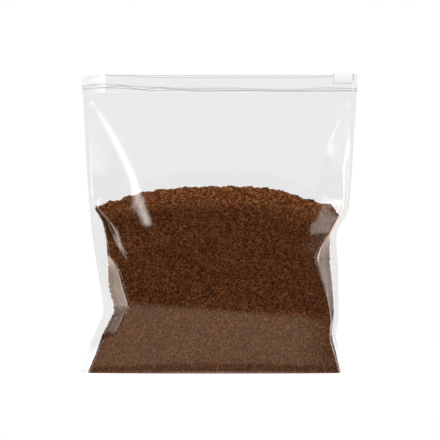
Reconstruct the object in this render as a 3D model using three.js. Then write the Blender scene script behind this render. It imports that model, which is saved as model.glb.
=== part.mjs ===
// A clear slider-zip bag, about half filled with ground coffee, standing on its flattened base.
// Millimetres, +Z up. The origin is on the ground under the middle of the bag, and -Y is its front.
import * as THREE from 'three';

// Driving dimensions
const seamLeft = -124.1; // the zip's left end, which with seamRight makes a bag 250 mm wide laid flat
const seamRight = 125.9;
const filmTop = 254; // height at which the two walls of film meet the zip
const zipTop = 270.4;
const bellyDepth = 44.5; // furthest that the front and the back each bulge from the seams
const flapHalf = 0.5; // half the thickness of the welded side seams
const fit = 0.3; // gap between neighbouring pieces

const sliderLength = 17.3;
const sliderHeight = 11.8;
const sliderHalfDepth = 4;
const sliderRise = 3.6; // how far the slider stands above the zip
const leftStopLength = 20.6; // the long crushed weld at the zip's left end
const rightStopLength = 3.4;
const sliderToStop = 1.1; // play between the closed slider and the right end weld

// A smooth curve through [at, value] points: a cubic between each two, whose slope at a point
// is that of the line between its neighbours.
function through(points) {
  const last = points.length - 1;
  const slope = points.map((_, i) => {
    const [a, b] = [points[Math.max(i - 1, 0)], points[Math.min(i + 1, last)]];
    return (b[1] - a[1]) / (b[0] - a[0]);
  });
  return (at) => {
    const t = Math.min(Math.max(at, points[0][0]), points[last][0]);
    let i = 0;
    while (i < last - 1 && t > points[i + 1][0]) i++;
    const span = points[i + 1][0] - points[i][0];
    const s = (t - points[i][0]) / span;
    const rise = s * s * (3 - 2 * s);
    return points[i][1] * (1 - rise) + points[i + 1][1] * rise
      + span * s * (1 - s) * (slope[i] * (1 - s) - slope[i + 1] * s);
  };
}

// The lower of two depths, with the corner between them rounded off over the given reach.
const softMin = (a, b, reach) => {
  const near = Math.max(reach - Math.abs(a - b), 0) / reach;
  return Math.min(a, b) - (near ** 3 * reach) / 6;
};
const softMax = (a, b, reach) => -softMin(-a, -b, reach);
const clamp = (at, low, high) => Math.min(Math.max(at, low), high);
const smoothStep = (low, high, at) => {
  const s = clamp((at - low) / (high - low), 0, 1);
  return s * s * (3 - 2 * s);
};

// The outer edges of the side seams, and the lines where the walls part inside them, by height.
const seam = {
  left: through([[0, -125.9], [20, -119], [40, -110.5], [55, -104.8], [77, -107.3], [120, -114],
    [165, -118.4], [filmTop, -123.6]]),
  right: through([[0, 115], [15, 111], [33, 106.2], [48, 108.4], [95, 108.2], [127, 107.2],
    [142, 115], [152, 118.4], [200, 121.8], [filmTop, 125.4]]),
};
const parting = {
  left: through([[0, -119.5], [19, -111.4], [35, -106], [48, -99.3], [57, -96], [77, -100.4],
    [106, -101.5], [135, -106], [150, -113.4], [165, -115.6], [filmTop, -121.4]]),
  right: through([[0, 111], [19, 106.6], [33, 103.4], [55, 105], [80, 103.6], [106, 101.6],
    [126, 102.4], [140, 109], [155, 115.8], [200, 119.2], [filmTop, 123.2]]),
};

// How far the middle of each wall stands out from the seams, by height.
const bulge = {
  front: through([[0, 24], [3, 29], [10, 34.5], [30, 41.8], [60, bellyDepth], [100, 41.5],
    [140, 34.5], [168, 30.5], [200, 24], [230, 14], [247, 5], [filmTop, 1.7]]),
  back: through([[0, 23.5], [3, 28.5], [10, 34], [30, 41.4], [60, bellyDepth], [100, 41],
    [140, 33.5], [168, 29], [200, 22], [230, 12.5], [247, 4.6], [filmTop, 1.7]]),
};
const bellySlant = 0.075; // how much lower the belly's widest line lies per millimetre to the right
const panelMiddle = 2;
const panelHalf = 112;
const panelCurve = 0.46; // how much a panel falls off over that half width
const ridgeReach = 14; // how softly panels and upper facets meet
const dentReach = through([[95, 4], [110, 9], [132, 9], [146, 5]]); // the same for lower facets, by height
const edgeSteepness = 9; // steepest slope by a parting line
const foldSteepness = 1.05;

// The lines, by height, where a wall turns from its panel to a side facet. The upper facet loses
// that share of its depth on its way to the seam, and lower down it is lifted clear of the panel,
// so that it ends. The lower facet runs round the dent at the bag's waist.
const creases = {
  front: [
    {
      side: 'left',
      upper: through([[122, -54], [134, -58], [156, -66], [179, -75.5], [206, -88], [220, -95],
        [231, -102.5], [247, -114.5], [filmTop, -118]]),
      loss: through([[134, 0.78], [156, 0.92], [175, 1]]),
      lift: through([[100, 38], [116, 12], [124, 4.5], [132, 1.2], [140, 0.2], [146, 0]]),
      lower: through([[0, -117], [20, -109.4], [31, -103.2], [37, -94.5], [45, -89.4], [55, -85.4],
        [61, -81.6], [65, -82.2], [79, -86.4], [93, -90.6], [100, -94], [108, -100.5],
        [125, -103], [150, -112]]),
    },
    {
      side: 'right',
      upper: through([[96, 83], [122, 87], [134, 89], [156, 90], [188, 95], [220, 106], [filmTop, 120]]),
      loss: through([[116, 0.2], [134, 0.31], [150, 0.45], [160, 0.5], [172, 0.36], [186, 0.34],
        [198, 0.62], [212, 0.95], [225, 1]]),
      lift: through([[96, 30], [108, 8], [116, 3], [124, 0.8], [132, 0.1], [136, 0]]),
      lower: through([[0, 109], [25, 107.8], [34, 104.6], [41, 102.5], [58, 100], [72, 97.3],
        [86, 93.4], [99, 89.6], [105, 88.9], [113, 91.9], [122, 96.4], [130, 102.5], [140, 112]]),
    },
  ],
  back: [
    {
      side: 'left',
      upper: through([[96, -76], [134, -79], [170, -88], [206, -98], [filmTop, -118]]),
      loss: through([[134, 0.45], [170, 0.9], [190, 1]]),
      lift: through([[100, 40], [122, 6], [136, 0]]),
      lower: through([[0, -112], [25, -102], [46, -90], [66, -86], [100, -93], [150, -112]]),
    },
    {
      side: 'right',
      upper: through([[96, 70], [134, 74], [170, 86], [206, 98], [filmTop, 119]]),
      loss: through([[134, 0.5], [170, 0.9], [190, 1]]),
      lift: through([[100, 40], [122, 6], [136, 0]]),
      lower: through([[0, 106], [20, 99], [46, 95], [66, 92], [100, 94], [150, 112]]),
    },
  ],
};

// Small folds that run down from the top of the coffee: where each starts across the wall, and
// the width over which the film drops there, by height.
const folds = {
  front: {
    toSeam: -1,
    line: through([[101, -81.5], [111, -84], [120, -87], [127, -90], [137, -96.5], [149, -108]]),
    width: through([[101, 0.1], [106, 2.6], [111, 6], [120, 9], [127, 10], [137, 9.5], [150, 6],
      [160, 0.1]]),
  },
  back: {
    toSeam: 1,
    line: through([[96, 80], [118, 88], [134, 97], [149, 107]]),
    width: through([[96, 0.1], [118, 4], [134, 7], [148, 6], [160, 0.1]]),
  },
};

// How far a wall stands out at (x, z): a gently curved panel, cut by a facet on each side and by
// a steep slope up from each line where the walls part, and let down past its fold.
function wallDepth(face, x, z) {
  const slant = bellySlant * smoothStep(10, 40, z) * (1 - smoothStep(80, 130, z));
  const panel = (at) => bulge[face](z + slant * at)
    * (1 - panelCurve * ((at - panelMiddle) / panelHalf) ** 2);
  let depth = panel(x);
  const reach = ridgeReach * clamp(depth / 26, 0.05, 1);
  for (const { side, upper, loss, lift, lower } of creases[face]) {
    const start = parting[side](z);
    const outward = side === 'left' ? -1 : 1;
    let ridge = upper(z);
    depth = softMin(depth, panel(ridge) * (1 - (loss(z) * (x - ridge)) / (start - ridge)) + lift(z), reach);
    ridge = outward > 0 ? Math.min(lower(z), start - 1) : Math.max(lower(z), start + 1);
    depth = softMin(depth, panel(ridge) * (1 - (x - ridge) / (start - ridge)), dentReach(z));
    depth = softMin(depth, Math.abs(x - start) * edgeSteepness, reach * 0.6);
    if ((x - start) * outward > 0) depth = 0;
  }
  const { toSeam, line, width } = folds[face];
  const drop = (width(z) - 0.1) * foldSteepness * smoothStep(0, width(z), (x - line(z)) * toSeam);
  depth -= Math.min(drop, depth * 0.5);
  return softMax(depth, flapHalf, flapHalf);
}

// A closed mesh of rings of points, each one further along than the last. The four-sided cells
// between two rings are split along their shorter diagonal, and endFaces, triangles of corner
// numbers, close both ends.
function ringsToGeometry(rings, endFaces) {
  const count = rings[0].length;
  const span = ([ax, ay, az], [bx, by, bz]) => Math.hypot(ax - bx, ay - by, az - bz);
  const index = [];
  for (let r = 0; r + 1 < rings.length; r++) {
    const [ring, next] = [rings[r], rings[r + 1]];
    for (let i = 0; i < count; i++) {
      const j = (i + 1) % count;
      const [a, b, c, d] = [r * count + i, r * count + j, (r + 1) * count + j, (r + 1) * count + i];
      if (span(ring[i], next[j]) < span(ring[j], next[i])) index.push(a, b, c, a, c, d);
      else index.push(a, b, d, b, c, d);
    }
  }
  const last = (rings.length - 1) * count;
  for (const [a, b, c] of endFaces) index.push(c, b, a, last + a, last + b, last + c);
  const geometry = new THREE.BufferGeometry();
  geometry.setAttribute('position', new THREE.Float32BufferAttribute(rings.flat(2), 3));
  geometry.setIndex(index);
  geometry.computeVertexNormals();
  return geometry;
}

// The bag: level rings from the ground to the zip, closer where the walls turn quickly. Each runs
// along the front from the left and comes back along the rear, and both ends are closed by strips.
function bagGeometry() {
  const heights = [0, 1.2, 4, 9, 16, 23, 30, 36, 42, 48, 54, 60, 66, 73, 80, 87, 94, 100, 105, 110,
    115, 120, 125, 130, 135, 140, 145, 150, 156, 163, 171, 180, 189, 198, 207, 216, 224, 232, 240,
    247, filmTop];
  const columns = 42; // steps across the bag between its two parting lines
  const rings = heights.map((z) => {
    const [left, right] = [parting.left(z), parting.right(z)];
    const xs = [seam.left(z)];
    for (let i = 0; i <= columns; i++) {
      const even = i / columns;
      const crowded = (1 - Math.cos(Math.PI * even)) / 2;
      xs.push(left + (right - left) * (0.45 * even + 0.55 * crowded));
    }
    xs.push(seam.right(z));
    const front = xs.map((x) => [x, -wallDepth('front', x, z), z]);
    const back = xs.map((x) => [x, wallDepth('back', x, z), z]);
    return [...front, ...back.reverse()];
  });
  const count = rings[0].length;
  const strips = [];
  for (let i = 0; i + 1 < count / 2; i++) {
    const [behind, behindNext] = [count - 1 - i, count - 2 - i];
    strips.push([i, i + 1, behindNext], [i, behindNext, behind]);
  }
  return ringsToGeometry(rings, strips);
}

// One rail of the zip, swept along X: a plain band under a bead, with ribs below that wander a
// little along the bag. Each line is the height of a bead's or rib's middle by the place along it.
const bandOuter = 1.15;
const beadOuter = 1.45;
const ribOuter = 1.8;
const beadHalf = 0.46; // half the height of a bead, and of a rib
const ribHalf = 0.55;
const inner = fit / 2;
const railLines = {
  front: {
    edge: through([[-104, 269.9], [-86, 269.4], [-67, 268.2], [-53, 267.8], [12, 267.9], [85, 267.9],
      [103, 268.6], [122, 268.8]]),
    ribs: [
      through([[-103, 258.2], [-84, 257.8], [-70, 256.6], [-62, 255.6], [-49, 255.9], [-37, 256.4],
        [0, 256.2], [39, 255.5], [65, 255.3], [94, 256.2], [122, 255.9]]),
      through([[-103, 261.5], [-98, 261.2], [-88, 260.5], [-76, 259.6], [-62, 258.7], [-49, 258.2],
        [-35, 257.8], [12, 257.9], [39, 257.2], [65, 256.7], [78, 257], [94, 258.2], [122, 257.6]]),
    ],
  },
  back: {
    edge: through([[-104, 269.9], [-88, 269.3], [-75, 269.9], [-53, 269.6], [12, 269.8], [85, 269.5],
      [122, 269.7]]),
    ribs: [
      through([[-103, 258.9], [-98, 259.2], [-92, 260.3], [-84, 259.7], [-78, 258], [-70, 256.9],
        [-61, 257.9], [-53, 258.5], [-45, 257.6], [-35, 256.4], [-17, 255.3], [19, 256],
        [33, 256.2], [56, 255.3], [122, 255.3]]),
    ],
  },
};
const railFrom = seamLeft + leftStopLength + fit;
const railTo = seamRight - rightStopLength - fit;

function railGeometry(face) {
  const { edge, ribs } = railLines[face];
  const side = face === 'front' ? -1 : 1;
  const bottom = filmTop + fit;
  const stations = 32;
  const rings = [];
  for (let i = 0; i <= stations; i++) {
    const x = railFrom + ((railTo - railFrom) * i) / stations;
    const top = edge(x);
    const outside = [[inner, bottom], [bandOuter, bottom]];
    for (const rib of ribs) {
      const z = rib(x);
      outside.push([bandOuter, z - ribHalf], [ribOuter, z - 0.2], [ribOuter, z + 0.2],
        [bandOuter, z + ribHalf]);
    }
    outside.push([bandOuter, top - beadHalf], [beadOuter, top - 0.2], [beadOuter, top + 0.2],
      [bandOuter, top + beadHalf], [inner, top + beadHalf], [inner, (bottom + top) / 2]);
    const ring = outside.map(([y, z]) => [x, side * y, z]);
    rings.push(side < 0 ? ring.reverse() : ring);
  }
  const outline = rings[0].map(([, y, z]) => new THREE.Vector2(y, z));
  return ringsToGeometry(rings, THREE.ShapeUtils.triangulateShape(outline, []));
}

// The end welds: both rails crushed flat together into one block.
function endStopGeometry(length) {
  const height = zipTop + 0.4 - (filmTop + fit);
  const outline = new THREE.Shape();
  const [w, h] = [length / 2 - 0.5, height / 2 - 0.5];
  outline.moveTo(-w, -h).lineTo(w, -h).lineTo(w, h).lineTo(-w, h).closePath();
  const geometry = new THREE.ExtrudeGeometry(outline, {
    depth: 2 * beadOuter - 1, bevelThickness: 0.5, bevelSize: 0.5, bevelSegments: 1,
  });
  geometry.center();
  return geometry.rotateX(Math.PI / 2);
}

// The slider: an upside-down channel that straddles the zip, its ends rounded off.
function sliderGeometry() {
  const slot = beadOuter + 0.45; // half the slot's width
  const roof = sliderHeight - sliderRise + 0.5; // height of the slot above the slider's lower edge
  const edge = 0.7; // rounding of the slider's long edges and ends
  const outer = sliderHalfDepth - edge;
  const shape = new THREE.Shape();
  shape.moveTo(-outer, edge);
  shape.lineTo(-slot - edge, edge);
  shape.lineTo(-slot - edge, roof + edge);
  shape.lineTo(slot + edge, roof + edge);
  shape.lineTo(slot + edge, edge);
  shape.lineTo(outer, edge);
  shape.lineTo(outer - 0.3, sliderHeight - 1.8 - edge);
  shape.quadraticCurveTo(outer - 0.4, sliderHeight - edge, outer - 1.8, sliderHeight - edge);
  shape.lineTo(-outer + 1.8, sliderHeight - edge);
  shape.quadraticCurveTo(-outer + 0.4, sliderHeight - edge, -outer + 0.3, sliderHeight - 1.8 - edge);
  const geometry = new THREE.ExtrudeGeometry(shape, {
    depth: sliderLength - 2 * edge, curveSegments: 4, bevelThickness: edge, bevelSize: edge, bevelSegments: 2,
  });
  geometry.translate(0, 0, edge - sliderLength / 2);
  return geometry.rotateX(Math.PI / 2).rotateZ(Math.PI / 2);
}

const clearPlastic = { roughness: 0.15, metalness: 0, transparent: true, opacity: 0.35 };
const materials = {
  filledBag: new THREE.MeshStandardMaterial({ color: 0x4b2b19, roughness: 0.6, metalness: 0 }),
  zip: new THREE.MeshStandardMaterial({ color: 0xededed, ...clearPlastic }),
  slider: new THREE.MeshStandardMaterial({ color: 0xeeeeec, roughness: 0.35, metalness: 0 }),
};

const group = new THREE.Group();
function add(name, geometry, material, x = 0, z = 0) {
  const mesh = new THREE.Mesh(geometry, material);
  mesh.name = name;
  mesh.position.set(x, 0, z);
  group.add(mesh);
}

const stopHeight = (filmTop + fit + zipTop + 0.4) / 2;
add('bag', bagGeometry(), materials.filledBag);
add('zip_rail_front', railGeometry('front'), materials.zip);
add('zip_rail_back', railGeometry('back'), materials.zip);
add('end_weld_left', endStopGeometry(leftStopLength), materials.zip, seamLeft + leftStopLength / 2, stopHeight);
add('end_weld_right', endStopGeometry(rightStopLength), materials.zip, seamRight - rightStopLength / 2, stopHeight);
add('slider', sliderGeometry(), materials.slider,
  seamRight - rightStopLength - sliderToStop - sliderLength / 2, zipTop + sliderRise - sliderHeight);

export default group;
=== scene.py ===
import math

import bpy
import numpy as np
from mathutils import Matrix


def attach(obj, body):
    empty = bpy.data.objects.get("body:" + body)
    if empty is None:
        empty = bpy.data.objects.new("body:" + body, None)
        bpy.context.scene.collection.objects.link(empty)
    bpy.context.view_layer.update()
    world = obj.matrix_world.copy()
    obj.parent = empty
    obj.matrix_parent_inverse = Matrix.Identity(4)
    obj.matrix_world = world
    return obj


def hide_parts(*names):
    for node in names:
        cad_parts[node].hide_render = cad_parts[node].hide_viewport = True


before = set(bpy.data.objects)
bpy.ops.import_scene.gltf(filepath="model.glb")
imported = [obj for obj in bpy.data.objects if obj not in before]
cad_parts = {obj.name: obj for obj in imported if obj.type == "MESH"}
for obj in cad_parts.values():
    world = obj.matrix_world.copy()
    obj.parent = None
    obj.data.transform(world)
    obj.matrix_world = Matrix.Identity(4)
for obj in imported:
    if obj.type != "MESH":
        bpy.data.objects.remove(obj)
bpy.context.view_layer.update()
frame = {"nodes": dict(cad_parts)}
mm = 0.001
print("frame loaded:", ", ".join(frame["nodes"]))


# A smooth curve through (at, value) points: a cubic between each two, whose slope at a point
# is that of the line between its neighbours.
def through(points):
    at, value = np.array(points, float).T
    before = np.maximum(np.arange(len(at)) - 1, 0)
    after = np.minimum(np.arange(len(at)) + 1, len(at) - 1)
    slope = (value[after] - value[before]) / (at[after] - at[before])

    def curve(where):
        t = np.clip(where, at[0], at[-1])
        i = np.clip(np.searchsorted(at, t, side="right") - 1, 0, len(at) - 2)
        span = at[i + 1] - at[i]
        s = (t - at[i]) / span
        rise = s * s * (3 - 2 * s)
        bend = span * s * (1 - s) * (slope[i] * (1 - s) - slope[i + 1] * s)
        return value[i] * (1 - rise) + value[i + 1] * rise + bend

    return curve


# The lower of two heights, with the corner between them rounded off over the given reach.
def softMin(a, b, reach):
    near = np.maximum(reach - np.abs(a - b), 0) / reach
    return np.minimum(a, b) - near ** 3 * reach / 6


# The higher of two heights, rounded off in the same way.
def softMax(a, b, reach):
    return -softMin(-a, -b, reach)


# Climbs from 0 at low to 1 at high, level at both ends: 3 s squared less 2 s cubed.
def smoothStep(low, high, at):
    s = np.clip((at - low) / (high - low), 0, 1)
    return s * s * (3 - 2 * s)


# Unit normals of a grid of points, from the differences between neighbours.
def gridNormals(points):
    along = np.gradient(points, axis=0)
    across = np.gradient(points, axis=1)
    normal = np.cross(across, along)
    return normal / np.maximum(np.linalg.norm(normal, axis=-1, keepdims=True), 1e-9)


# An object at the origin, with its place in its mesh.
def newObject(name, mesh, materials, smooth=True):
    mesh.polygons.foreach_set("use_smooth", np.full(len(mesh.polygons), smooth))
    for one in materials:
        mesh.materials.append(one)
    made = bpy.data.objects.new(name, mesh)
    bpy.context.scene.collection.objects.link(made)
    return made


# A mesh of quads from numpy points, in millimetres, and rows of four corner numbers.
def quadMesh(name, points, quads):
    mesh = bpy.data.meshes.new(name)
    mesh.vertices.add(len(points))
    mesh.vertices.foreach_set("co", (points * mm).astype(np.float32).ravel())
    mesh.loops.add(quads.size)
    mesh.loops.foreach_set("vertex_index", quads.astype(np.int32).ravel())
    mesh.polygons.add(len(quads))
    mesh.polygons.foreach_set("loop_start", np.arange(0, quads.size, 4, dtype=np.int32))
    mesh.update()
    mesh.validate()
    return mesh


# One number for each point of a mesh, which a material can read by its name.
def givePointValues(mesh, name, values):
    made = mesh.attributes.new(name, "FLOAT", "POINT")
    made.data.foreach_set("value", values.astype(np.float32).ravel())


# A closed mesh of rings, each with the same number of points: quads join neighbouring rings,
# and at both ends a strip pairs the first half of the ring with the second, run backwards.
def ringMesh(name, rings):
    count, size = rings.shape[:2]
    i = np.arange(size)
    a = np.arange(count - 1)[:, None] * size + i
    b = np.arange(count - 1)[:, None] * size + (i + 1) % size
    sides = np.stack([a, b, b + size, a + size], -1).reshape(-1, 4)
    i = np.arange(size // 2 - 1)
    start = np.stack([i, size - 1 - i, size - 2 - i, i + 1], -1)
    end = (count - 1) * size + np.stack([i, i + 1, size - 2 - i, size - 1 - i], -1)
    return quadMesh(name, rings.reshape(-1, 3), np.concatenate([sides, start, end]))


# A node's output, or a bare tree. Sums, products and powers of links add Math nodes.
class Link:
    def __init__(self, tree, socket=None):
        self.tree = tree
        self.socket = socket

    # Adds a node: its settings first, a ramp's stops among them, then its inputs by name or
    # number, each a value or another Link.
    def node(self, kind, settings=None, inputs=None, output=0):
        made = self.tree.nodes.new(kind)
        for name, value in (settings or {}).items():
            if name == "stops":
                while len(made.color_ramp.elements) < len(value):
                    made.color_ramp.elements.new(1.0)
                for stop, (at, colour) in zip(made.color_ramp.elements, value):
                    stop.position = at
                    stop.color = (*colour, 1.0)
            else:
                setattr(made, name, value)
        for name, value in (inputs or {}).items():
            if isinstance(value, Link):
                self.tree.links.new(value.socket, made.inputs[name])
            else:
                made.inputs[name].default_value = value
        return Link(self.tree, made.outputs[output] if made.outputs else None)

    def maths(self, operation, first, second):
        return self.node("ShaderNodeMath", {"operation": operation}, {0: first, 1: second})

    # a at 0 and b at 1, both colours
    def blend(self, a, b, share):
        return self.node("ShaderNodeMix", {"data_type": "RGBA"}, {0: share, 6: a, 7: b}, 2)

    def __add__(self, other):
        return self.maths("ADD", self, other)

    def __radd__(self, other):
        return self.maths("ADD", other, self)

    def __sub__(self, other):
        return self.maths("SUBTRACT", self, other)

    def __rsub__(self, other):
        return self.maths("SUBTRACT", other, self)

    def __mul__(self, other):
        return self.maths("MULTIPLY", self, other)

    def __rmul__(self, other):
        return self.maths("MULTIPLY", other, self)

    def __pow__(self, other):
        return self.maths("POWER", self, other)


# A material without nodes, and the link that adds them.
def newMaterial(name):
    made = bpy.data.materials.new(name)
    made.use_nodes = True
    made.node_tree.nodes.clear()
    return made, Link(made.node_tree)


# Where a point lies on its own piece, in metres.
def objectPlace(tree):
    return tree.node("ShaderNodeTexCoord", output="Object")


# Sends a shader to the material's output.
def giveSurface(tree, shader):
    tree.node("ShaderNodeOutputMaterial", inputs={"Surface": shader})


bag = {
    "filmTop": 254,
    # the outer edges of the side seams, and the lines where the walls part inside them, by height
    "seamLeft": through([[0, -125.9], [20, -119], [40, -110.5], [55, -104.8], [77, -107.3],
                         [120, -114], [165, -118.4], [254, -123.6]]),
    "seamRight": through([[0, 115], [15, 111], [33, 106.2], [48, 108.4], [95, 108.2],
                          [127, 107.2], [142, 115], [152, 118.4], [200, 121.8], [254, 125.4]]),
    "partLeft": through([[0, -119.5], [19, -111.4], [35, -106], [48, -99.3], [57, -96],
                         [77, -100.4], [106, -101.5], [135, -106], [150, -113.4],
                         [165, -115.6], [254, -121.4]]),
    "partRight": through([[0, 111], [19, 106.6], [33, 103.4], [55, 105], [80, 103.6],
                          [106, 101.6], [126, 102.4], [140, 109], [155, 115.8],
                          [200, 119.2], [254, 123.2]]),
    # how far the middle of each wall stands out from the seams, by height
    "bulgeFront": through([[0, 24], [3, 29], [10, 34.5], [30, 41.8], [60, 44.5], [100, 41.5],
                           [140, 34.5], [168, 30.5], [200, 24], [230, 14], [247, 5], [254, 1.7]]),
    "bulgeBack": through([[0, 23.5], [3, 28.5], [10, 34], [30, 41.4], [60, 44.5], [100, 41],
                          [140, 33.5], [168, 29], [200, 22], [230, 12.5], [247, 4.6], [254, 1.7]]),
    "bellySlant": 0.075,  # how much lower the belly's widest line lies per millimetre to the right
    "slantIn": (10, 40),  # the heights over which that slant comes in, and goes again
    "slantOut": (80, 130),
    "panelMiddle": 2,
    "panelHalf": 112,
    "panelCurve": 0.46,  # how much a panel falls off over that half width
    "ridgeReach": 14,  # how far a ridge is rounded off
    "ridgeDepth": 26,  # where the wall is at least this deep, and in proportion where it isn't
    "dentReach": through([[95, 4], [110, 9], [132, 9], [146, 5]]),  # the same round the waist's dent
    "edgeSteepness": 9,  # steepest slope by a parting line
    "edgeRounding": 0.6,
    "foldSteepness": 1.05,
    "flapHalf": 0.16,  # half the thickness of the side seams
    "seamRib": 0.45,  # how far the weld stands out along the side seams
}

# The lines, by height, where a wall turns from its panel to a side facet. The upper facet loses
# that share of its depth on its way to the seam, and lower down it is lifted clear of the panel,
# so that it ends. The lower facet runs round the dent at the bag's waist.
creases = {
    "front": [
        {"side": "Left",
         "upper": through([[122, -54], [134, -58], [156, -66], [179, -75.5], [206, -88],
                           [220, -95], [231, -102.5], [247, -114.5], [254, -118]]),
         "loss": through([[134, 0.78], [156, 0.92], [175, 1]]),
         "lift": through([[100, 38], [116, 12], [124, 4.5], [132, 1.2], [140, 0.2], [146, 0]]),
         "lower": through([[0, -117], [20, -109.4], [31, -103.2], [37, -94.5], [45, -89.4],
                           [55, -85.4], [61, -81.6], [65, -82.2], [79, -86.4], [93, -90.6],
                           [100, -94], [108, -100.5], [125, -103], [150, -112]])},
        {"side": "Right",
         "upper": through([[96, 83], [122, 87], [134, 89], [156, 90], [188, 95], [220, 106],
                           [254, 120]]),
         "loss": through([[116, 0.2], [134, 0.31], [150, 0.45], [160, 0.5], [172, 0.36],
                          [186, 0.34], [198, 0.62], [212, 0.95], [225, 1]]),
         "lift": through([[96, 30], [108, 8], [116, 3], [124, 0.8], [132, 0.1], [136, 0]]),
         "lower": through([[0, 109], [25, 107.8], [34, 104.6], [41, 102.5], [58, 100], [72, 97.3],
                           [86, 93.4], [99, 89.6], [105, 88.9], [113, 91.9], [122, 96.4],
                           [130, 102.5], [140, 112]])},
    ],
    "back": [
        {"side": "Left",
         "upper": through([[96, -76], [134, -79], [170, -88], [206, -98], [254, -118]]),
         "loss": through([[134, 0.45], [170, 0.9], [190, 1]]),
         "lift": through([[100, 40], [122, 6], [136, 0]]),
         "lower": through([[0, -112], [25, -102], [46, -90], [66, -86], [100, -93],
                           [150, -112]])},
        {"side": "Right",
         "upper": through([[96, 70], [134, 74], [170, 86], [206, 98], [254, 119]]),
         "loss": through([[134, 0.5], [170, 0.9], [190, 1]]),
         "lift": through([[100, 40], [122, 6], [136, 0]]),
         "lower": through([[0, 106], [20, 99], [46, 95], [66, 92], [100, 94], [150, 112]])},
    ],
}

# Small folds that run down from the top of the coffee: where each starts across the wall, and
# the width over which the film drops there, by height.
folds = {
    "front": {"toSeam": -1,
              "line": through([[101, -81.5], [111, -84], [120, -87], [127, -90], [137, -96.5],
                               [149, -108]]),
              "width": through([[101, 0.1], [106, 2.6], [111, 6], [120, 9], [127, 10],
                                [137, 9.5], [150, 6], [160, 0.1]])},
    "back": {"toSeam": 1,
             "line": through([[96, 80], [118, 88], [134, 97], [149, 107]]),
             "width": through([[96, 0.1], [118, 4], [134, 7], [148, 6], [160, 0.1]])},
}


# The drop past a fold's line, down to the seam: its width times its steepness, reached by a
# smooth step over that width. Where the width is 0.1 there is no fold.
def foldDrop(face, x, z):
    width = folds[face]["width"](z)
    past = (x - folds[face]["line"](z)) * folds[face]["toSeam"]
    return (width - 0.1) * bag["foldSteepness"] * smoothStep(0, width, past)


# How far a wall stands out at (x, z): the lowest, with rounded corners, of a gently curved panel,
# two facets on each side and a steep slope up from each line where the walls part, less the fold.
def wallDepth(face, x, z):
    left, right = bag["partLeft"](z), bag["partRight"](z)
    slant = bag["bellySlant"] * smoothStep(*bag["slantIn"], z) * (1 - smoothStep(*bag["slantOut"], z))
    bulgeCurve = bag["bulgeFront" if face == "front" else "bulgeBack"]

    def panel(at):
        across = (at - bag["panelMiddle"]) / bag["panelHalf"]
        return bulgeCurve(z + slant * at) * (1 - bag["panelCurve"] * across ** 2)

    depth = panel(x)
    reach = bag["ridgeReach"] * np.clip(depth / bag["ridgeDepth"], 0.05, 1)
    for crease in creases[face]:
        start, outward = (left, -1) if crease["side"] == "Left" else (right, 1)
        ridge = crease["upper"](z)
        upper = panel(ridge) * (1 - crease["loss"](z) * (x - ridge) / (start - ridge))
        depth = softMin(depth, upper + crease["lift"](z), reach)
        # the lower ridge stays at least 1 mm inside the parting line
        ridge = np.where(outward > 0, np.minimum(crease["lower"](z), start - 1),
                         np.maximum(crease["lower"](z), start + 1))
        lower = panel(ridge) * (1 - (x - ridge) / (start - ridge))
        depth = softMin(depth, lower, bag["dentReach"](z))
        depth = softMin(depth, np.abs(x - start) * bag["edgeSteepness"], reach * bag["edgeRounding"])
        depth = np.where((x - start) * outward > 0, 0, depth)
    depth = depth - np.minimum(foldDrop(face, x, z), depth * 0.5)  # half the depth at most
    return softMax(depth, bag["flapHalf"] + 0 * x, bag["flapHalf"])


film = {
    "rows": 215,
    "rowPower": 1.12,  # above 1, the rows crowd towards the ground
    "columns": 184,
    "crowding": 0.5,  # how much the columns crowd towards the sides
    "flap": [0, 0.05, 0.2, 0.32, 0.44, 0.56, 0.7, 0.85],  # more columns, at shares of a side seam
    "weldAt": 0.44,  # where the weld runs along the side seam, and half its width, as such shares
    "weldHalf": 0.2,
    "baseRings": 8,
    "clear": (0.965, 0.965, 0.965, 1),
    "mirror": 0.077,  # the share of light that a wall mirrors head on
    "roughness": (0.06, 0.22),  # where it lies taut on the coffee, and where it hangs free
    "tautTo": 165,  # the heights between which it changes
    "freeFrom": 235,
}


# Level rings from the ground to the zip, along the front and back along the rear, with flat
# rings inside the first one that make the base.
def filmRings():
    share = np.linspace(0, 1, film["rows"])
    z = (bag["filmTop"] * share ** film["rowPower"])[:, None]
    even = np.linspace(0, 1, film["columns"])
    across = even * (1 - film["crowding"]) + (1 - np.cos(math.pi * even)) / 2 * film["crowding"]
    flap = np.array(film["flap"])
    left, right = bag["partLeft"](z), bag["partRight"](z)
    x = np.concatenate([bag["seamLeft"](z) + (left - bag["seamLeft"](z)) * flap,
                        left + (right - left) * across,
                        bag["seamRight"](z) + (right - bag["seamRight"](z)) * flap[::-1]], 1)
    z = np.broadcast_to(z, x.shape)
    weld = bag["seamRib"] * np.clip(1 - np.abs(flap - film["weldAt"]) / film["weldHalf"], 0, 1)
    weld = np.concatenate([weld, 0 * across, weld[::-1]])
    front = np.stack([x, -wallDepth("front", x, z) - weld, z], -1)
    back = np.stack([x, wallDepth("back", x, z) + weld, z], -1)
    walls = np.concatenate([front, back[:, ::-1]], 1)
    narrowing = np.linspace(0, 1, film["baseRings"], endpoint=False)[1:, None]
    base = np.repeat(walls[:1], len(narrowing), 0)
    base[:, :, 1] *= narrowing
    return np.concatenate([base, walls])


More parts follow.
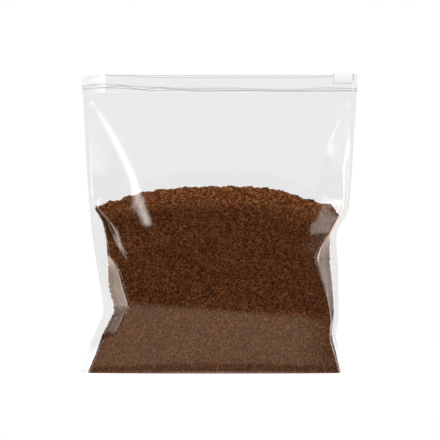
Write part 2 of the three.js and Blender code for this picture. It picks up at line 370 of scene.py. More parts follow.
# A thin clear sheet: its share of mirrored light climbs with the fourth power of how far it is
# turned away, and it is duller where it hangs free above the coffee.
def filmMaterial():
    made, tree = newMaterial("clearFilm")
    facing = tree.node("ShaderNodeLayerWeight", inputs={"Blend": 0.5}, output="Facing")
    mirror = film["mirror"] + (1 - film["mirror"]) * facing ** 4.0
    clear = tree.node("ShaderNodeBsdfTransparent", inputs={"Color": film["clear"]})
    height = tree.node("ShaderNodeSeparateXYZ", inputs={0: objectPlace(tree)}, output="Z")
    rough = tree.node("ShaderNodeMapRange", {"interpolation_type": "SMOOTHSTEP"}, {
        "Value": height, "From Min": film["tautTo"] * mm, "From Max": film["freeFrom"] * mm,
        "To Min": film["roughness"][0], "To Max": film["roughness"][1]})
    gloss = tree.node("ShaderNodeBsdfGlossy", inputs={"Color": (1, 1, 1, 1), "Roughness": rough})
    giveSurface(tree, tree.node("ShaderNodeMixShader", inputs={0: mirror, 1: clear, 2: gloss}))
    return made


clearFilm = filmMaterial()
filmObject = newObject("film", ringMesh("film", filmRings()), [clearFilm])
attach(filmObject, "filled_bag")
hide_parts("bag")
print("film:", len(filmObject.data.polygons), "faces")


coffee = {
    "stations": 244,
    "wallPoints": 150,
    "shoulderPoints": 50,
    "basePoints": 10,
    "crowding": 0.4,  # how much the stations crowd towards the sides
    "stationHeight": 146,  # the height at which they are dealt out
    "foot": 0.3,
    "gap": 0.4,  # between the heap and the film
    "thinnest": 0.1,  # the least depth in front of and behind the bag's middle
    "shoulder": 24,  # how far below its crest the heap leaves the wall
    "roundness": 0.8,  # 1 for an elliptic crest, less for a fuller one
    "relief": 2.0,  # depth of the deepest dips between grains
    "centring": 0.9,  # how much of the mean dip is given back where the heap lies free
    "clumping": 0.3,  # share of the relief that is two points wide
    "lumps": 0.75,  # how far the heap's top strays from its smooth line
    "raggedEdge": 1.7,  # how far the heap's sides stay short of the seams at most
    "top": through([[-112, 148.5], [-88, 155.2], [-64, 161.7], [-30, 165.7], [10, 166.7], [40, 165.2],
                    [58, 161.9], [77, 155.2], [103, 148.2], [111, 141]]),
    "free": (0.5, 4),  # the millimetres off the film over which grains begin to stand out, and over which the coffee is painted lighter, a painted light from above on the crest
    "loose": (0, 3),  # and over which the coffee grows lighter
    "seed": 11,
    "paintedCrestLightTone": 0.33,  # how much lighter it is painted where it lies off the film, a painted light from above on the crest, and low down, a painted light bounced up from the table, from the first of these heights to the second
    "paintedFloorLight": 0.12,  # and low down,
    "paintedFloorLightBetween": (70, 40),  # from the first of these heights to the second
    # cells to the metre, for grains, for clouds of lighter and darker ones, and for the bumps
    "cellScale": 900.0,
    "cloudScale": 60.0,
    "roughScale": 1500.0,
    "cloud": 0.4,  # how much the clouds shift the tone
    "bump": 0.7,
    "browns": [(0.0, (0.018, 0.005, 0.0015)), (0.45, (0.112, 0.0345, 0.0105)),
               (0.8, (0.22, 0.076, 0.0235)), (1.0, (0.31, 0.118, 0.04))],
}


# The wall's depth less a gap that is measured square to the wall: the gap times the root of 1
# plus the slope squared.
def innerDepth(face, x, z):
    step = 0.4
    slope = (wallDepth(face, x + step, z) - wallDepth(face, x - step, z)) / (2 * step)
    inner = wallDepth(face, x, z) - coffee["gap"] * np.sqrt(1 + slope ** 2)
    return np.maximum(inner, coffee["thinnest"])


# The heap as loops across the bag, one for each station from left to right: up the rear wall,
# over a rounded crest and down the front wall. A loop keeps its share of the width at every
# height, and its depth is the wall's, narrowed above the shoulder by a power of the cosine. The
# second result tells how far each point is from the wall in millimetres.
def coffeeRings():
    shares = np.linspace(0, 1, coffee["stations"])
    rounded = (1 - np.cos(math.pi * shares)) / 2
    s = (shares * (1 - coffee["crowding"]) + rounded * coffee["crowding"])[:, None]
    levelLeft, levelRight = (bag[side](coffee["stationHeight"]) for side in ("partLeft", "partRight"))
    crestX = levelLeft + (levelRight - levelLeft) * s
    chance = np.random.default_rng(coffee["seed"])
    waves = np.sin(crestX * chance.uniform(0.25, 1.6, 9) + chance.uniform(0, 6.3, 9))
    waves = waves.sum(1, keepdims=True)
    crest = coffee["top"](crestX) + coffee["lumps"] * waves / 3
    shoulder = crest - coffee["shoulder"]
    climb = np.linspace(0, 1, coffee["wallPoints"])[None, :-1]
    turn = np.linspace(0, math.pi / 2, coffee["shoulderPoints"])[None, :]
    z = np.concatenate([coffee["foot"] + (shoulder - coffee["foot"]) * climb,
                        shoulder + coffee["shoulder"] * np.sin(turn)], 1)
    narrow = np.concatenate([np.ones_like(climb), np.cos(turn) ** coffee["roundness"]], 1)
    ragged = coffee["gap"] + coffee["raggedEdge"] * chance.random((2, z.shape[1])) ** 1.5
    left, right = bag["partLeft"](z) + ragged[0], bag["partRight"](z) - ragged[1]
    x = left + (right - left) * s
    front, back = innerDepth("front", x, z), innerDepth("back", x, z)
    rear = np.stack([x, back * narrow, z], -1)
    fore = np.stack([x, -front * narrow, z], -1)[:, ::-1]
    away = np.concatenate([back * (1 - narrow), (front * (1 - narrow))[:, ::-1]], 1)
    return np.concatenate([rear, fore], 1), away


coffeeLoops, offWall = coffeeRings()
coffeeNormals = gridNormals(coffeeLoops)
if coffeeNormals[coffee["stations"] // 2, coffee["wallPoints"] // 4, 1] < 0:  # the rear wall faces +Y
    coffeeNormals = -coffeeNormals


# The heap's skin, pushed in at each point by a dip of its own: a share that two by two points
# have in common and a share by chance, to the power 1.5. Off the film the dips are centred.
def coffeeMesh():
    chance = np.random.default_rng(coffee["seed"])
    stations, points = coffeeLoops.shape[:2]
    clumps = chance.random((stations // 2 + 1, points // 2 + 1)).repeat(2, 0).repeat(2, 1)
    dips = coffee["clumping"] * clumps[:stations, :points]
    dips = (dips + (1 - coffee["clumping"]) * chance.random((stations, points))) ** 1.5
    dips[:, [0, -1]] = 0
    dips[[0, -1]] = 0
    dips -= coffee["centring"] * smoothStep(*coffee["free"], offWall) * dips.mean()
    loops = coffeeLoops - coffeeNormals * (dips * coffee["relief"])[..., None]
    # the base is closed by points spread evenly from the front foot to the rear foot
    steps = np.linspace(0, 1, coffee["basePoints"] + 2)[None, 1:-1, None]
    under = loops[:, -1:] + (loops[:, :1] - loops[:, -1:]) * steps
    half = coffee["basePoints"] // 2
    mesh = ringMesh("coffee", np.concatenate([under[:, half:], loops, under[:, :half]], 1))
    # painted light: the share by which each point off the film, on the crest, is painted lighter, as
    # light from above would light it
    loose = np.pad(smoothStep(*coffee["loose"], offWall), ((0, 0), (coffee["basePoints"] - half, half)))
    givePointValues(mesh, "loose", loose)
    return mesh


# Brown that changes from grain to grain: cells of about a grain's size pick from a ramp, and
# larger clouds shift it. Painted light lifts it low down, for light bounced up from the table, and on
# the crest off the film, for light from above.
def coffeeMaterial():
    made, tree = newMaterial("coffeeBrown")
    place = objectPlace(tree)

    def noise(scale):
        return tree.node("ShaderNodeTexNoise", inputs={"Vector": place, "Scale": scale, "Detail": 2.0})

    cells = tree.node("ShaderNodeTexVoronoi", {"feature": "F1"},
                      {"Vector": place, "Scale": coffee["cellScale"]}, "Color")
    pick = tree.node("ShaderNodeSeparateColor", inputs={0: cells})
    height = tree.node("ShaderNodeSeparateXYZ", inputs={0: place}, output="Z")
    # painted light: the brown is lifted low down, in place of light bounced up from the table
    paintedFloorLight = tree.node("ShaderNodeMapRange", {"interpolation_type": "SMOOTHSTEP"}, {
        "Value": height, "From Min": coffee["paintedFloorLightBetween"][0] * mm,
        "From Max": coffee["paintedFloorLightBetween"][1] * mm, "To Max": coffee["paintedFloorLight"]})
    # painted light from above: the crest off the film is lifted on the ramp
    loose = tree.node("ShaderNodeAttribute", {"attribute_name": "loose"}, output="Fac")
    tone = (pick + noise(coffee["cloudScale"]) * coffee["cloud"] - coffee["cloud"] / 2 + paintedFloorLight
            + loose * coffee["paintedCrestLightTone"])
    colour = tree.node("ShaderNodeValToRGB", {"stops": coffee["browns"]}, {0: tone})
    bump = tree.node("ShaderNodeBump", inputs={"Strength": 0.9, "Distance": coffee["bump"] * mm,
                                               "Height": noise(coffee["roughScale"])})
    body = tree.node("ShaderNodeBsdfPrincipled", inputs={"Base Color": colour, "Roughness": 0.75,
                                                         "Normal": bump, "Specular IOR Level": 0.1})
    giveSurface(tree, body)
    return made


coffeeObject = newObject("coffee", coffeeMesh(), [coffeeMaterial()], smooth=False)
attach(coffeeObject, "filled_bag")
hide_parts("bag")
print("coffee:", len(coffeeObject.data.polygons), "faces")


# Sizes are in millimetres, and tones are places on the ramp of browns below.
grainKinds = {
    "grainsDark": {"count": 16500, "size": (0.55, 1.05), "tones": (0.0, 0.5), "seed": 21},
    "grainsBrown": {"count": 16500, "size": (0.5, 1.0), "tones": (0.35, 0.85), "seed": 22},
    "grainsLight": {"count": 12000, "size": (0.4, 0.8), "tones": (0.65, 1.0), "seed": 23},
}
grainShape = {
    "half": 0.62,  # half a box's side, for a size of 1
    "strew": 0.28,  # how far a corner strays from the box's
    "stretch": (0.7, 1.25),
    "growth": 0.55,  # how much larger the free grains are
    "sunk": 0.75,  # how deep a grain on the wall lies, as a share of its size,
    "proud": 0.7,  # and how far a free one stands out
    "under": 0.05,  # millimetres that every grain lies deeper than that
    "clear": 0.1,  # how near one may come to the film
    "browns": [(0.0, (0.032, 0.009, 0.0025)), (0.5, (0.12, 0.037, 0.011)),
               (0.85, (0.23, 0.08, 0.025)), (1.0, (0.32, 0.125, 0.042))],
}


# Grains as boxes with strewn corners: for each, a place drawn evenly over the heap's surface,
# a random turn and three radii. On the wall they sit just under the film, which flattens them,
# and on top they stand out.
def grainMesh(name, kind):
    chance = np.random.default_rng(kind["seed"])
    count = kind["count"] // 1
    corners = coffeeLoops[:-1, :-1], coffeeLoops[1:, :-1], coffeeLoops[1:, 1:], coffeeLoops[:-1, 1:]
    area = np.linalg.norm(np.cross(corners[2] - corners[0], corners[3] - corners[1]), axis=-1)
    area[[0, 1, -2, -1]] = 0  # none in the rows by the seams and the ground
    area[:, [0, 1, -2, -1]] = 0
    pick = chance.choice(area.size, count, p=(area / area.sum()).ravel())
    u, v = chance.random((2, count, 1))
    a, b, c, d = (corner.reshape(-1, 3)[pick] for corner in corners)
    middle = (a * (1 - u) + b * u) * (1 - v) + (d * (1 - u) + c * u) * v
    normal = coffeeNormals[:-1, :-1].reshape(-1, 3)[pick]
    away = offWall[:-1, :-1].ravel()[pick]
    free = smoothStep(*coffee["free"], away)[:, None]
    size = kind["size"][0] + (kind["size"][1] - kind["size"][0]) * chance.random((count, 1))
    size = size * (1 + grainShape["growth"] * free)
    sunk = grainShape["sunk"] * (1 - free) - grainShape["proud"] * free
    middle = middle - normal * (size * sunk + grainShape["under"])
    box = np.array([[i, j, k] for i in (-1, 1) for j in (-1, 1) for k in (-1, 1)]) * grainShape["half"]
    shape = box[None] + chance.uniform(-grainShape["strew"], grainShape["strew"], (count, 8, 3))
    shape *= (size * chance.uniform(*grainShape["stretch"], (count, 3)))[:, None]
    turn = chance.normal(size=(count, 4))
    w, i, j, k = (turn / np.linalg.norm(turn, axis=1, keepdims=True)).T
    rows = np.array([[1 - 2 * (j * j + k * k), 2 * (i * j - w * k), 2 * (i * k + w * j)],
                     [2 * (i * j + w * k), 1 - 2 * (i * i + k * k), 2 * (j * k - w * i)],
                     [2 * (i * k - w * j), 2 * (j * k + w * i), 1 - 2 * (i * i + j * j)]])
    x, y, z = np.moveaxis(np.einsum("nvc,rcn->nvr", shape, rows) + middle[:, None], -1, 0)
    clear = grainShape["clear"]
    z = np.maximum(z, clear)
    x = np.clip(x, bag["partLeft"](z) + clear, bag["partRight"](z) - clear)
    y = np.clip(y, clear - wallDepth("front", x, z), wallDepth("back", x, z) - clear)
    points = np.stack([x, y, z], -1)
    faces = np.array([[0, 1, 3, 2], [4, 6, 7, 5], [0, 4, 5, 1], [2, 3, 7, 6], [0, 2, 6, 4],
                      [1, 5, 7, 3]])
    quads = (np.arange(count)[:, None, None] * 8 + faces).reshape(-1, 4)
    mesh = quadMesh(name, points.reshape(-1, 3), quads)
    low, high = kind["tones"]
    # painted light: grains off the film on the crest are painted lighter, as light from above would
    # make them
    loose = smoothStep(*coffee["loose"], away) * coffee["paintedCrestLightTone"]
    givePointValues(mesh, "tone", np.repeat(low + (high - low) * chance.random(count) + loose, 8))
    return mesh


# Each grain's own tone picks its brown from a ramp.
def grainMaterial():
    made, tree = newMaterial("grainBrown")
    tone = tree.node("ShaderNodeAttribute", {"attribute_name": "tone"}, output="Fac")
    colour = tree.node("ShaderNodeValToRGB", {"stops": grainShape["browns"]}, {0: tone})
    body = tree.node("ShaderNodeBsdfPrincipled", inputs={"Base Color": colour, "Roughness": 0.7,
                                                         "Specular IOR Level": 0.12})
    giveSurface(tree, body)
    return made


grainBrown = grainMaterial()
for grainName, grainKind in grainKinds.items():
    grains = newObject(grainName, grainMesh(grainName, grainKind), [grainBrown], smooth=False)
    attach(grains, "filled_bag")
    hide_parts("bag")
    print(grainName + ":", len(grains.data.polygons), "faces")


zipShape = {
    "foot": 254.3,
    "stations": 130,
    "from": -103.2,
    "to": 122.2,
    "ribFrom": -123.8,  # the ribs run on over the welds
    "ribTo": 125.5,
    "inner": 0.2,  # how far from the middle each band's two sides stand
    "outer": 0.85,
    "bandClimb": [0, 0.03, 0.1, 0.3, 0.5, 0.7, 0.9, 0.97, 1],
    # the rods that stiffen each rail, by the place along the bag: how high each runs
    "front": {"edge": through([[-104, 269.9], [-86, 269.4], [-67, 268.2], [-53, 267.8], [12, 267.9],
                               [85, 267.9], [103, 268.6], [122, 268.8]]),
              "ribs": [through([[-124, 259.9], [-114, 260.9], [-106, 261.8], [-98, 261.2],
                                [-88, 260.5], [-76, 259.6], [-62, 258.7], [-49, 258.2],
                                [-35, 257.8], [12, 257.9], [39, 257.2], [65, 256.7],
                                [78, 257], [94, 258.2], [122, 257.6]]),
                       through([[-124, 257.2], [-113, 257.8], [-103, 258.2], [-84, 257.8],
                                [-70, 256.6], [-62, 255.6], [-49, 255.9], [-37, 256.4],
                                [0, 256.2], [39, 255.5], [65, 255.3], [94, 256.2],
                                [122, 255.9]])]},
    "back": {"edge": through([[-104, 269.9], [-88, 269.3], [-75, 269.9], [-53, 269.6], [12, 269.8],
                              [85, 269.5], [122, 269.7]]),
             "ribs": [through([[-124, 259.7], [-115, 260.2], [-108, 258.9], [-98, 259.2],
                               [-92, 260.3], [-84, 259.7], [-78, 258], [-70, 256.9],
                               [-61, 257.9], [-53, 258.5], [-45, 257.6], [-35, 256.4],
                               [-17, 255.3], [19, 256], [33, 256.2], [56, 255.3],
                               [122, 255.3]])]},
    "edgeRadius": 0.46,
    "edgeOut": 0.92,  # how far out each rod's middle lies
    "ribRadius": 0.55,
    "ribOut": 1.15,
    "bandTint": 0.985,  # share of light let through, and share mirrored head on
    "bandMirror": 0.028,
    "rodTint": 0.9,
    "rodMirror": 0.04,
    "roughness": 0.12,
}


# Rings of a flat band that stands on the zip's foot: both sides climb to the edge line by the
# same shares of its height.
def bandRings(side):
    x = np.linspace(zipShape["from"], zipShape["to"], zipShape["stations"])[:, None]
    edge = zipShape["front" if side < 0 else "back"]["edge"]
    z = zipShape["foot"] + (edge(x) - zipShape["foot"]) * np.array(zipShape["bandClimb"])
    low, high = sorted((zipShape["inner"] * side, zipShape["outer"] * side))
    up = np.stack([x + 0 * z, high + 0 * z, z], -1)
    down = np.stack([x + 0 * z, low + 0 * z, z], -1)[:, ::-1]
    return np.concatenate([up, down], 1)


# The angles round a ring of that many points, half a step on from 0.
def ringTurn(count):
    return np.linspace(0, 2 * math.pi, count, endpoint=False)[None] + math.pi / count


# Rings of a round rod that follows a line of heights from one place along the bag to another:
# its middle, plus the radius times the cosine and the sine of the angle.
def rodRings(side, height, out, radius, start, end):
    x = np.linspace(start, end, zipShape["stations"])[:, None]
    turn = ringTurn(12)
    return np.stack([x + 0 * turn, side * out + radius * np.cos(turn) + 0 * x,
                     height(x) + radius * np.sin(turn)], -1)


# Clear plastic thicker than the film: the lower the tint, the darker its outline. What it mirrors
# climbs with the fifth power of how far it is turned away.
def zipMaterial(name, tint, shine):
    made, tree = newMaterial(name)
    facing = tree.node("ShaderNodeLayerWeight", inputs={"Blend": 0.5}, output="Facing")
    mirror = shine + (1 - shine) * facing ** 5.0
    clear = tree.node("ShaderNodeBsdfTransparent", inputs={"Color": (tint, tint, tint, 1)})
    gloss = tree.node("ShaderNodeBsdfGlossy", inputs={"Color": (1, 1, 1, 1),
                                                      "Roughness": zipShape["roughness"]})
    giveSurface(tree, tree.node("ShaderNodeMixShader", inputs={0: mirror, 1: clear, 2: gloss}))
    return made


clearBand = zipMaterial("clearBand", zipShape["bandTint"], zipShape["bandMirror"])
clearRod = zipMaterial("clearRod", zipShape["rodTint"], zipShape["rodMirror"])
for side, face in ((-1, "front"), (1, "back")):
    shape = zipShape[face]
    pieces = {"Band": (bandRings(side), clearBand),
              "Edge": (rodRings(side, shape["edge"], zipShape["edgeOut"], zipShape["edgeRadius"],
                                zipShape["from"], zipShape["to"]), clearRod)}
    for number, rib in enumerate(shape["ribs"]):
        rings = rodRings(side, rib, zipShape["ribOut"], zipShape["ribRadius"], zipShape["ribFrom"],
                         zipShape["ribTo"])
        pieces["Rib" + "AB"[number]] = rings, clearRod
    for pieceName, (rings, finish) in pieces.items():
        part = newObject(face + pieceName, ringMesh(face + pieceName, rings), [finish])
        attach(part, "filled_bag")
        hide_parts("zip_rail_" + face)
print("zip rails: 7 pieces")


# The share of white painted into a weld, a painted reflection of light on its crumpled pad, and
# fade, the millimetres at its right end over which that painted white goes.
welds = {
    "Left": {"from": -124.1, "to": -103.5, "stations": 60, "crumple": 0.3, "tint": 1.0, "paintedSheen": 0.6,
             "fade": 11},
    "Right": {"from": 122.5, "to": 125.9, "stations": 14, "crumple": 0.05, "tint": 0.93,
              "paintedSheen": 0.05, "fade": 0.1},
}
weldShape = {
    "foot": 254.4,
    "top": 270.6,
    "half": 1.1,
    "edge": 0.5,  # how far in from its rim a pad is rounded
    "rimShare": 0.1,  # how thick it is at the rim, as a share
    "points": 46,
    "waveFrom": (-1.2, 0.3, 0),  # least and greatest tilt, pitch and start of a crease's wave
    "waveTo": (1.2, 1.0, 6.3),
    "waves": 6,
    "seed": 8,
}


# Both rails melted into one pad: two faces, each raised by the sum of sine waves that cross at
# chance angles, and rounded off to the pad's rim.
def weldRings(weld):
    x = np.linspace(weld["from"], weld["to"], weld["stations"])[:, None]
    z = np.linspace(weldShape["foot"], weldShape["top"], weldShape["points"])[None, :]
    rim = np.minimum(np.minimum(x - weld["from"], weld["to"] - x),
                     np.minimum(z - weldShape["foot"], weldShape["top"] - z))
    rounded = np.sqrt(1 - (1 - np.clip(rim / weldShape["edge"], 0, 1)) ** 2)
    chance = np.random.default_rng(weldShape["seed"])
    sides = []
    for side in (1, -1):
        crumple = 0
        for tilt, pitch, start in chance.uniform(weldShape["waveFrom"], weldShape["waveTo"],
                                                 (weldShape["waves"], 3)):
            crumple = crumple + np.sin((x * math.sin(tilt) + z * math.cos(tilt)) * pitch + start)
        depth = weldShape["half"] + weld["crumple"] * crumple / 2
        depth = depth * (weldShape["rimShare"] + (1 - weldShape["rimShare"]) * rounded)
        sides.append(np.stack([x + 0 * z, side * depth, z + 0 * x], -1))
    return np.concatenate([sides[0], sides[1][:, ::-1]], 1)


# Melted plastic, clear, with a share of painted white mixed in by the place along the bag: a painted
# reflection of light on the pad.
def weldMaterial(name, weld):
    made, tree = newMaterial(name)
    tint = weld["tint"]
    place = objectPlace(tree)
    clear = tree.node("ShaderNodeBsdfTransparent", inputs={"Color": (tint, tint, tint, 1)})
    rough = tree.node("ShaderNodeTexNoise", inputs={"Vector": place, "Scale": 700.0})
    # the white body is a painted reflection of light on the pad
    body = tree.node("ShaderNodeBsdfPrincipled", inputs={
        "Base Color": (0.93, 0.94, 0.95, 1), "Roughness": 0.3 + rough * 0.15,
        "Specular IOR Level": 0.2})
    along = tree.node("ShaderNodeSeparateXYZ", inputs={0: place}, output="X")
    # painted reflection: the white share, strongest on the left pad and fading at its right end
    paintedSheen = tree.node("ShaderNodeMapRange", {"interpolation_type": "SMOOTHSTEP"}, {
        "Value": along, "From Min": (weld["to"] - weld["fade"]) * mm, "From Max": weld["to"] * mm,
        "To Min": weld["paintedSheen"], "To Max": 0.0})
    giveSurface(tree, tree.node("ShaderNodeMixShader", inputs={0: paintedSheen, 1: clear, 2: body}))
    return made


for sideName, weld in welds.items():
    pad = newObject("weld" + sideName, ringMesh("weld" + sideName, weldRings(weld)),
                    [weldMaterial("weld" + sideName, weld)])
    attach(pad, "filled_bag")
    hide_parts("end_weld_" + sideName.lower())
print("end welds: 2 pieces")


# A dark rod of painted shade, standing in the shadowed gap between the slider and the right weld.
paintedShadeRod = {
    "at": 121.95,
    "halfAlong": 0.3,
    "halfAcross": 1.2,
    "foot": 264.6,
    "top": 271.4,
    "rounding": 0.5,
    "tip": 0.2,  # share of its width that is left at both ends
    "stations": 24,
    "tint": 0.62,
}


# Rings of a dark upright rod, painted shade for the shadowed gap between the slider and the right
# weld: an oval rod at the weld's inner edge, whose width falls off along a quarter of a circle at both
# ends.
def paintedShadeRodRings():
    z = np.linspace(paintedShadeRod["foot"], paintedShadeRod["top"], paintedShadeRod["stations"])[:, None]
    rim = np.clip(np.minimum(z - paintedShadeRod["foot"], paintedShadeRod["top"] - z) / paintedShadeRod["rounding"], 0, 1)
    wide = paintedShadeRod["tip"] + (1 - paintedShadeRod["tip"]) * np.sqrt(1 - (1 - rim) ** 2)
    turn = ringTurn(16)
    return np.stack([paintedShadeRod["at"] + paintedShadeRod["halfAlong"] * wide * np.cos(turn),
                     paintedShadeRod["halfAcross"] * wide * np.sin(turn), z + 0 * turn], -1)


# the rod's low tint is painted shade, the dark of the gap
paintedShadeTint = zipMaterial("paintedShadeTint", paintedShadeRod["tint"], zipShape["rodMirror"])
paintedShadeRodPiece = newObject("paintedShadeRod", ringMesh("paintedShadeRod", paintedShadeRodRings()), [paintedShadeTint])
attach(paintedShadeRodPiece, "filled_bag")
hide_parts("end_weld_right")
print("end stop: 1 piece")


slider = {
    "from": 104.1,
    "to": 121.4,
    "foot": 262.2,
    "top": 274,
    "half": 4,
    "slotHalf": 1.9,
    "slotTop": 270.9,
    "round": 1.1,  # radius of the edges at both ends
    "topRound": 2.2,
    "lipRound": 0.55,
    "lean": 0.35,  # how much narrower each side is at the top than at the foot
    "arc": 8,  # points in each rounding
    # painted shade: the white greys from the top down to the foot
    "paintedShadeFoot": (0.81, 0.815, 0.82, 1),
    "paintedLightTop": (0.95, 0.955, 0.96, 1),
}


# Rings of an upside-down channel along the bag. The outer side is a rounded box's outline, drawn
# in by an amount that grows to the rounding at both ends, and the inner side is the slot.
def sliderRings():
    arc = np.linspace(0, math.pi / 2, slider["arc"])
    half, top, foot, bend = slider["half"], slider["top"], slider["foot"], slider["topRound"]
    lip, narrower = slider["lipRound"], slider["half"] - slider["lean"] - slider["topRound"]
    right = [(half - lip + lip * math.sin(a), foot + lip - lip * math.cos(a)) for a in arc]
    right += [(half - slider["lean"] * t, foot + lip + (top - bend - foot - lip) * t)
              for t in np.linspace(0, 1, 12)[1:-1]]
    right += [(narrower + bend * math.cos(a), top - bend + bend * math.sin(a)) for a in arc]
    right += [(y, top) for y in np.linspace(narrower, 0, 5)[1:-1]]
    outer = np.array(right + [(-y, z) for y, z in right[::-1]])
    # as many points up, over and down the slot, dealt out evenly along it
    slot = np.array([(slider["slotHalf"], foot), (slider["slotHalf"], slider["slotTop"]),
                     (-slider["slotHalf"], slider["slotTop"]), (-slider["slotHalf"], foot)])
    run = np.concatenate([[0], np.cumsum(np.linalg.norm(np.diff(slot, axis=0), axis=1))])
    at = np.linspace(0, run[-1], len(outer))
    inner = np.stack([np.interp(at, run, slot[:, 0]), np.interp(at, run, slot[:, 1])], 1)
    middle = np.array([0, (foot + top) / 2])
    size = np.array([half, (top - foot) / 2])
    rings = []
    for end, inward, turns in ((slider["from"], 1, arc), (slider["to"], -1, arc[::-1])):
        for a in turns:
            x = end + inward * slider["round"] * (1 - math.cos(a))
            shrunk = middle + (outer - middle) * (1 - slider["round"] * (1 - math.sin(a)) / size)
            both = np.concatenate([shrunk, inner[::-1]])
            rings.append(np.concatenate([np.full((len(both), 1), x), both], 1))
    return np.array(rings)


# White moulded plastic, a little uneven in gloss, painted whiter towards its top and greyer at its foot
# as light from above would shade it.
def whitePlastic():
    made, tree = newMaterial("sliderWhite")
    place = objectPlace(tree)
    rough = tree.node("ShaderNodeTexNoise", inputs={"Vector": place, "Scale": 900.0})
    height = tree.node("ShaderNodeSeparateXYZ", inputs={0: place}, output="Z")
    climb = tree.node("ShaderNodeMapRange", inputs={
        "Value": height, "From Min": slider["foot"] * mm, "From Max": slider["top"] * mm})
    # painted shade and light: greyer at the foot, whiter at the top
    white = tree.blend(slider["paintedShadeFoot"], slider["paintedLightTop"], climb)
    body = tree.node("ShaderNodeBsdfPrincipled", inputs={
        "Base Color": white, "Roughness": 0.5 + rough * 0.15, "Specular IOR Level": 0.1})
    giveSurface(tree, body)
    return made


sliderPiece = newObject("sliderShell", ringMesh("sliderShell", sliderRings()), [whitePlastic()])
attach(sliderPiece, "slider")
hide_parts("slider")
print("slider:", len(sliderPiece.data.polygons), "faces")


studio = {
    # metres here, as lamps and cameras have them
    "floorRadius": 0.75,
    "floorFade": 0.35,
    "floorColour": (0.3, 0.3, 0.3, 1),
    "floorGlow": 0.8,
    "cameraDistance": 3.0,
    "frameWidth": 0.3993,  # what the picture spans at the bag's middle
    "lookAt": (0.0011, 0, 0.1384),
    # The room to light and reflections, by direction. Reflections see it dark in front and
    # behind, with a glow on each side, and a table whose far part is the brighter.
    "dark": (0.01, 0.01, 0.01, 1),
    "glowNear": (1.15, 1.05, 0.95, 1),
    "glowFarLeft": (1.1, 0.92, 0.8, 1),
    "glowFarRight": (0.98, 0.85, 0.77, 1),
    # where the glow begins and ends on each side, in degrees round from the camera
    "glowLeft": (-89, -79),
    "glowRight": (79, 89),
    "glowEndLeft": (-160, -122),
    "glowEndRight": (140, 174),
    "glowFar": (95, 135),  # where its near colour turns to its far one
    "glowSides": (-0.1, 0.1),  # where the left far colour turns to the right one
    "glowTop": (0.4, 0.65),  # the sine of the angle up, as for all the heights that follow
    "overhead": (1.15, 1.15, 1.15, 1),
    "overheadFrom": (0.95, 0.99),
    "tableFar": (0.8, 0.56, 0.38, 1),
    "tableFarLeft": (-46, -34),
    "tableFarRight": (24, 44),
    "tableSide": (1.2, 1.0, 0.86, 1),
    "tableSideFrom": (80, 110),
    "tableNear": (0.2, 0.15, 0.12, 1),
    "tableNearFrom": (0.7, 0.98),  # the sine of the angle down
    "tableEdge": (-0.075, -0.015),
    # what soft light sees
    "softSky": (0.22, 0.22, 0.22, 1),
    "softTable": (0.62, 0.6, 0.58, 1),
    "softRise": (0.1, 0.95),
    # soft boxes, which only reflections see, in degrees round from the camera and up
    "boxTint": (1, 0.95, 0.9),
    "boxes": [
        {"around": (-45.5, -40), "up": (-1, 18), "soft": (2.6, 6), "light": 6.0},
        {"around": (37.5, 49), "up": (7.2, 16), "soft": (0.8, 2), "light": 2.0},
        {"around": (44, 62), "up": (6, 24), "soft": (8, 5), "light": 0.75},
        {"around": (26, 60), "up": (22, 38), "soft": (8, 6), "light": 0.35},
        {"around": (68, 90), "up": (-3, 22), "soft": (6, 4), "light": 0.6},
        {"around": (92, 124), "up": (-14, 12), "soft": (5, 5), "light": 3.4},
        {"around": (-88, -68), "up": (4, 22), "soft": (3, 2), "light": 2.0},
        {"around": (-132, -104), "up": (-16, 10), "soft": (5, 6), "light": 1.2},
    ],
    # these light the bag without showing in the film
    "lights": {
        "key": {"at": (-0.5, -1.3, 1.9), "size": (0.7, 0.7), "radiance": 6.8},
        "top": {"at": (0.25, -0.55, 2.3), "size": (0.5, 0.5), "radiance": 32.0},
    },
}


# A pale disc that fades into the white round it, a tenth of a millimetre under the bag.
def makeFloor():
    half, drop = (studio["floorRadius"] + 0.1) / mm, -0.1
    corners = np.array([[-half, -half, drop], [half, -half, drop], [half, half, drop],
                        [-half, half, drop]])
    made, tree = newMaterial("paleFloor")
    body = tree.node("ShaderNodeBsdfPrincipled", inputs={
        "Base Color": studio["floorColour"], "Roughness": 0.9, "Emission Color": (1, 1, 1, 1),
        "Emission Strength": studio["floorGlow"]})
    away = tree.node("ShaderNodeVectorMath", {"operation": "LENGTH"}, {0: objectPlace(tree)}, "Value")
    fade = tree.node("ShaderNodeMapRange", {"interpolation_type": "SMOOTHSTEP"}, {
        "Value": away, "From Min": studio["floorRadius"] - studio["floorFade"],
        "From Max": studio["floorRadius"]})
    clear = tree.node("ShaderNodeBsdfTransparent", inputs={"Color": (1, 1, 1, 1)})
    giveSurface(tree, tree.node("ShaderNodeMixShader", inputs={0: fade, 1: body, 2: clear}))
    floor = newObject("floor", quadMesh("floor", corners, np.array([[0, 1, 2, 3]])), [made])
    floor.visible_glossy = False


# Square lamps aimed at the middle of the picture: a lamp's power is its radiance times pi times
# its area.
def makeLights():
    for name, light in studio["lights"].items():
        data = bpy.data.lights.new(name, "AREA")
        data.shape = "RECTANGLE"
        data.size, data.size_y = light["size"]
        data.energy = light["radiance"] * math.pi * data.size * data.size_y
        made = bpy.data.objects.new(name, data)
        made.location = light["at"]
        aim = np.array(studio["lookAt"]) - np.array(light["at"])
        made.rotation_euler = (math.atan2(math.hypot(aim[0], aim[1]), -aim[2]), 0,
                               math.atan2(aim[1], aim[0]) - math.pi / 2)
        made.visible_camera = False
        made.visible_glossy = False
        bpy.context.scene.collection.objects.link(made)


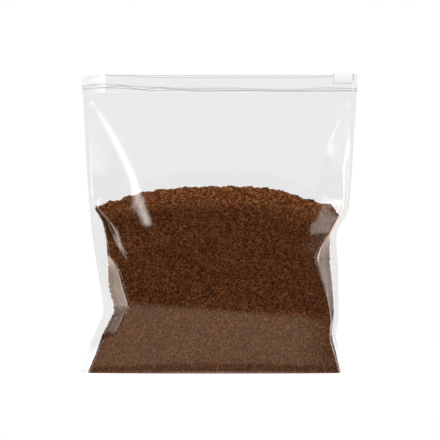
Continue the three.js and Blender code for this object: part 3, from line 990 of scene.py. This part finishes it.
# The room is white to the camera, even to soft light, and patterned to reflections: each box's
# light is the product of four smooth steps, at its left, right, lower and upper edge.
def makeWorld():
    world = bpy.data.worlds.new("room")
    world.use_nodes = True
    world.node_tree.nodes.clear()
    tree = Link(world.node_tree)
    toward = tree.node("ShaderNodeTexCoord", output="Generated")
    x, y, z = (tree.node("ShaderNodeSeparateXYZ", inputs={0: toward}, output=axis) for axis in "XYZ")

    def ease(value, low, high):
        return tree.node("ShaderNodeMapRange", {"interpolation_type": "SMOOTHSTEP"},
                         {"Value": value, "From Min": low, "From Max": high})

    around = tree.maths("ARCTAN2", x, -1.0 * y) * (180 / math.pi)
    either = tree.maths("ABSOLUTE", around, 0.0)
    glow = 1 - ease(around, *studio["glowLeft"]) + ease(around, *studio["glowRight"])
    glow = glow * ease(around, *studio["glowEndLeft"]) * (1 - ease(around, *studio["glowEndRight"]))
    glow = glow * (1 - ease(z, *studio["glowTop"]))
    glowFar = tree.blend(studio["glowFarLeft"], studio["glowFarRight"], ease(x, *studio["glowSides"]))
    glowing = tree.blend(studio["glowNear"], glowFar, ease(either, *studio["glowFar"]))
    up = ease(z, *studio["tableEdge"])
    high = ease(z, *studio["overheadFrom"])
    climb = tree.maths("ARCSINE", z, 0.0) * (180 / math.pi)
    boxLight = 0
    for box in studio["boxes"]:
        (left, right), (low, top), (side, rise) = box["around"], box["up"], box["soft"]
        share = ease(around, left - side, left + side) * (1 - ease(around, right - side, right + side))
        share = share * ease(climb, low - rise, low + rise) * (1 - ease(climb, top - rise, top + rise))
        boxLight = boxLight + share * box["light"]
    walls = tree.blend(studio["dark"], glowing, glow)
    ahead = ease(around, *studio["tableFarLeft"]) * (1 - ease(around, *studio["tableFarRight"]))
    table = tree.blend(studio["dark"], studio["tableFar"], ahead)
    table = tree.blend(table, studio["tableSide"], ease(either, *studio["tableSideFrom"]))
    table = tree.blend(table, studio["tableNear"], ease(-1.0 * z, *studio["tableNearFrom"]))
    mirrored = tree.blend(table, tree.blend(walls, studio["overhead"], high), up)
    mirrored = tree.node("ShaderNodeVectorMath", {"operation": "MULTIPLY_ADD"},
                         {0: boxLight, 1: studio["boxTint"], 2: mirrored})
    soft = tree.blend(studio["softSky"], studio["overhead"], ease(z, *studio["softRise"]))
    soft = tree.blend(studio["softTable"], soft, up)
    diffuseRay = tree.node("ShaderNodeLightPath", output="Is Diffuse Ray")
    cameraRay = tree.node("ShaderNodeLightPath", output="Is Camera Ray")
    colour = tree.blend(tree.blend(mirrored, soft, diffuseRay), (1, 1, 1, 1), cameraRay)
    back = tree.node("ShaderNodeBackground", inputs={"Color": colour, "Strength": 1.0})
    tree.node("ShaderNodeOutputWorld", inputs={"Surface": back})
    bpy.context.scene.world = world


# A level camera in front of the bag, whose lens spans the frame's width at the bag's middle.
def makeCamera():
    data = bpy.data.cameras.new("camera")
    data.lens = data.sensor_width * studio["cameraDistance"] / studio["frameWidth"]
    data.clip_end = 50
    camera = bpy.data.objects.new("camera", data)
    x, y, z = studio["lookAt"]
    camera.location = (x, y - studio["cameraDistance"], z)
    camera.rotation_euler = (math.pi / 2, 0, 0)
    bpy.context.scene.collection.objects.link(camera)
    bpy.context.scene.camera = camera


makeFloor()
makeLights()
makeWorld()
makeCamera()
bpy.context.scene.view_settings.view_transform = "Standard"
bpy.context.scene.cycles.transparent_max_bounces = 48
bpy.context.scene.cycles.max_bounces = 16
print("studio set")
